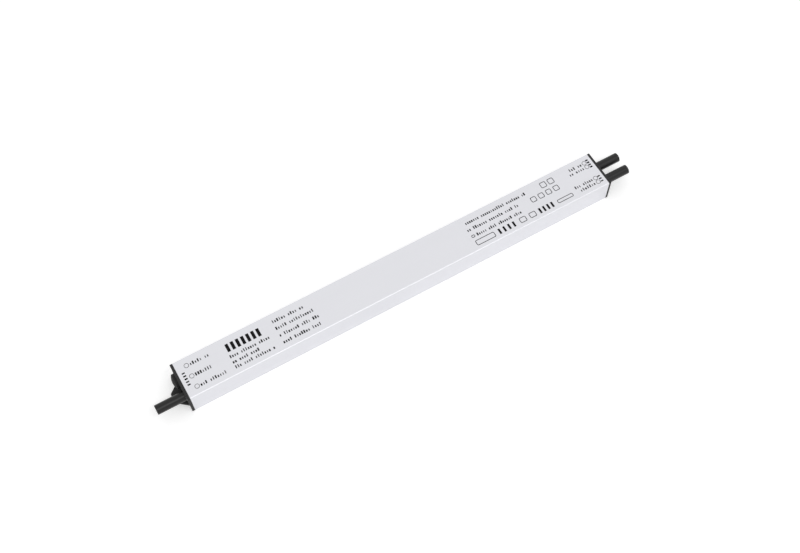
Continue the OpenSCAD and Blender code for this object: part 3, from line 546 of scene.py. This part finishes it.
def lay_strands(name, node, wires):
    """Puts strands along the cores in place of their conductors."""
    points, edges = joined(core_path(wire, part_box(node)[0].z) for wire in wires)
    values = {"Strand": STRAND, "Lay": STRAND_LAY, "Step": STRAND_STEP, "Material": FINISHES["copper"]}
    bundle = STRANDS.grow(name, points, edges, values)
    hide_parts(node)


MAINS_CORES = ["input_live_wire", "input_neutral_wire", "input_earth_wire"]
lay_strands("input_strands", "input_conductors", MAINS_CORES)
lay_strands("output_strands", "output_conductors", ["output_positive_wire", "output_negative_wire"])
lay_strands("dimming_strands", "dimming_conductors", ["dimming_wire_one", "dimming_wire_two"])


# Turns of wire in place of the plain windings

WIRES = wire_grower()
TURN_STEPS = 24
RING_WIRE = 0.8 * MM
RING_TURNS = 8


def wind(node, wire, paths):
    """Puts wire along the paths in place of a winding."""
    points, edges = joined(paths)
    turns = WIRES.grow(node + "_turns", points, edges, {"Wire": wire, "Material": FINISHES["winding"]})
    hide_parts(node)


def wind_coil(node, wire, layers, axis):
    """Helix to and fro along the axis, layer on layer from the inside out."""
    # Steps left out where the wire climbs to the next layer
    climb_steps = 2
    low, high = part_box(node)
    across, aside = (i for i in range(3) if i != axis)
    reach = (high[axis] - low[axis] - wire) / 2
    steps = int(2 * reach / wire) * TURN_STEPS
    points = []
    for layer in range(layers):
        radius = (high[across] - low[across]) / 2 - wire * (layers - layer - 0.5)
        way = 1 if layer % 2 == 0 else -1
        for i in range(climb_steps if layer else 0, steps + 1):
            angle = 2 * math.pi * i / TURN_STEPS
            point = (low + high) / 2
            point[axis] += way * reach * (2 * i / steps - 1)
            point[across] += radius * math.cos(angle)
            point[aside] += radius * math.sin(angle)
            points.append(point)
    wind(node, wire, [points])


def lead_points(end):
    """Bottom and top of the lead nearest to a wire's end."""
    lead_room = 1.2 * MM
    rise = 0.3 * MM
    winding = frame["nodes"]["line_choke_windings"].data.vertices
    feet = [vertex.co for vertex in winding if vertex.co.z < BOARD_LOW.z]
    nearest = min(feet, key=lambda foot: (foot.xy - end.xy).length)
    around = [foot.xy for foot in feet if (foot.xy - nearest.xy).length < lead_room]
    place = sum(around, Vector((0, 0))) / len(around)
    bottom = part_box("line_choke_windings")[0].z
    return [Vector((*place, bottom)), Vector((*place, BOARD_HIGH.z + rise))]


def ring_path(side):
    """Wire round one side of the ring core, between two leads that go down through the board."""
    half_span = math.radians(62)
    # The last turn stops short by this angle, at its lower outer corner
    last_corner = 0.8
    # Sine and cosine to this power go round a square with soft corners
    squareness = 0.4
    core = frame["nodes"]["line_choke_core"].data.vertices
    low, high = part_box("line_choke_core")
    middle = (low + high) / 2
    inner = min((vertex.co.xy - middle.xy).length for vertex in core)
    outer = high.y - middle.y
    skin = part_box("line_choke_windings")[1].y - high.y - RING_WIRE / 2
    half_width = (outer - inner) / 2 + skin
    half_height = (high.z - low.z) / 2 + skin
    steps = RING_TURNS * TURN_STEPS
    points = []
    for i in range(steps + 1):
        share = i / steps
        angle = side * math.pi / 2 + half_span * (1 - 2 * share)
        roll = share * (2 * math.pi * RING_TURNS - last_corner)
        out = math.copysign(abs(math.cos(roll)) ** squareness, math.cos(roll)) * half_width
        up = math.copysign(abs(math.sin(roll)) ** squareness, math.sin(roll)) * half_height
        radius = (inner + outer) / 2 + out
        points.append(middle + Vector((radius * math.cos(angle), radius * math.sin(angle), up)))
    return [*lead_points(points[0]), *points, *reversed(lead_points(points[-1]))]


wind("line_choke_windings", RING_WIRE, [ring_path(side) for side in (1, -1)])
wind_coil("boost_choke_winding", wire=0.78 * MM, layers=2, axis=0)
wind_coil("transformer_primary", wire=0.52 * MM, layers=3, axis=0)
wind_coil("transformer_secondary", wire=1.5 * MM, layers=1, axis=0)
wind_coil("output_choke_winding", wire=1.05 * MM, layers=2, axis=2)


# Studio

CAMERA_PLACE = Vector((-187.7, -336.1, 738.6)) * MM
CAMERA_AZIMUTH = math.radians(-29.23)
CAMERA_ELEVATION = math.radians(62.13)
CAMERA_ROLL = math.radians(-0.75)
CAMERA_LENS = 51.4
CAMERA_SENSOR = 36
WHITE = (1, 1, 1, 1)


def set_camera():
    lens = bpy.data.cameras.new("camera")
    lens.lens = CAMERA_LENS
    lens.sensor_width = CAMERA_SENSOR
    camera = bpy.data.objects.new("camera", lens)
    bpy.context.scene.collection.objects.link(camera)
    turn = Euler((math.pi / 2 - CAMERA_ELEVATION, 0, CAMERA_AZIMUTH)).to_matrix()
    turn @= Matrix.Rotation(CAMERA_ROLL, 3, "Z")
    camera.matrix_world = Matrix.Translation(CAMERA_PLACE) @ turn.to_4x4()
    bpy.context.scene.camera = camera


def seen_directly(graph):
    """1 for what the camera sees, by itself or in metal or glass, and 0 for light on matte surfaces."""
    path = graph.node("ShaderNodeLightPath")
    seen = graph.math("MAXIMUM", path["Is Camera Ray"], path["Is Glossy Ray"])
    return graph.math("MAXIMUM", seen, path["Is Transmission Ray"])


def floor_paper():
    """White paper that keeps the object's shadow, and glows more further out, where the lamp fades."""
    near = 0.5
    far = 1.6
    near_glow = 0.345
    far_glow = 0.43
    paper = Finish("floor_paper")
    away = paper.node("ShaderNodeVectorMath", {0: paper.place}, operation="LENGTH")["Value"]
    fade = {"Value": away, "From Min": near, "From Max": far, "To Min": near_glow, "To Max": far_glow}
    glow = paper.node("ShaderNodeMapRange", fade)["Result"]
    paper.set(
        base_color=(0.86, 0.86, 0.86, 1),
        roughness=0.9,
        specular_ior_level=0.0,
        emission_color=WHITE,
        emission_strength=paper.math("MULTIPLY", seen_directly(paper), glow),
    )
    return paper.material


def lay_floor():
    half = 6.0
    drop = 0.1 * MM
    mesh = bpy.data.meshes.new("floor")
    corners = [(-half, -half, -drop), (half, -half, -drop), (half, half, -drop), (-half, half, -drop)]
    mesh.from_pydata(corners, [], [(0, 1, 2, 3)])
    mesh.materials.append(floor_paper())
    floor = bpy.data.objects.new("floor", mesh)
    bpy.context.scene.collection.objects.link(floor)


def light_sky():
    """Soft white dome, which lights matte surfaces less than it shows."""
    matte_level = 0.7
    world = bpy.data.worlds.new("sky")
    world.use_nodes = True
    sky = Graph(world.node_tree)
    level = {"Value": seen_directly(sky), "To Min": matte_level, "To Max": 1.0}
    background = sky.tree.nodes["Background"].inputs
    sky.feed(background["Color"], WHITE)
    sky.feed(background["Strength"], sky.node("ShaderNodeMapRange", level)["Result"])
    bpy.context.scene.world = world


def hang_softbox(place, length, width, watts):
    """Long softbox, level along the tube and turned down to it."""
    lamp = bpy.data.lights.new("softbox", "AREA")
    lamp.shape = "RECTANGLE"
    lamp.size = length
    lamp.size_y = width
    lamp.energy = watts
    softbox = bpy.data.objects.new("softbox", lamp)
    softbox.location = place
    softbox.rotation_euler.x = -math.atan2(place[1], place[2])
    bpy.context.scene.collection.objects.link(softbox)


def set_studio():
    lay_floor()
    light_sky()
    hang_softbox(place=(0.1, -0.7, 1.43), length=1.5, width=0.4, watts=5.7)
    set_camera()
    bpy.context.scene.view_settings.view_transform = "Standard"


set_studio()
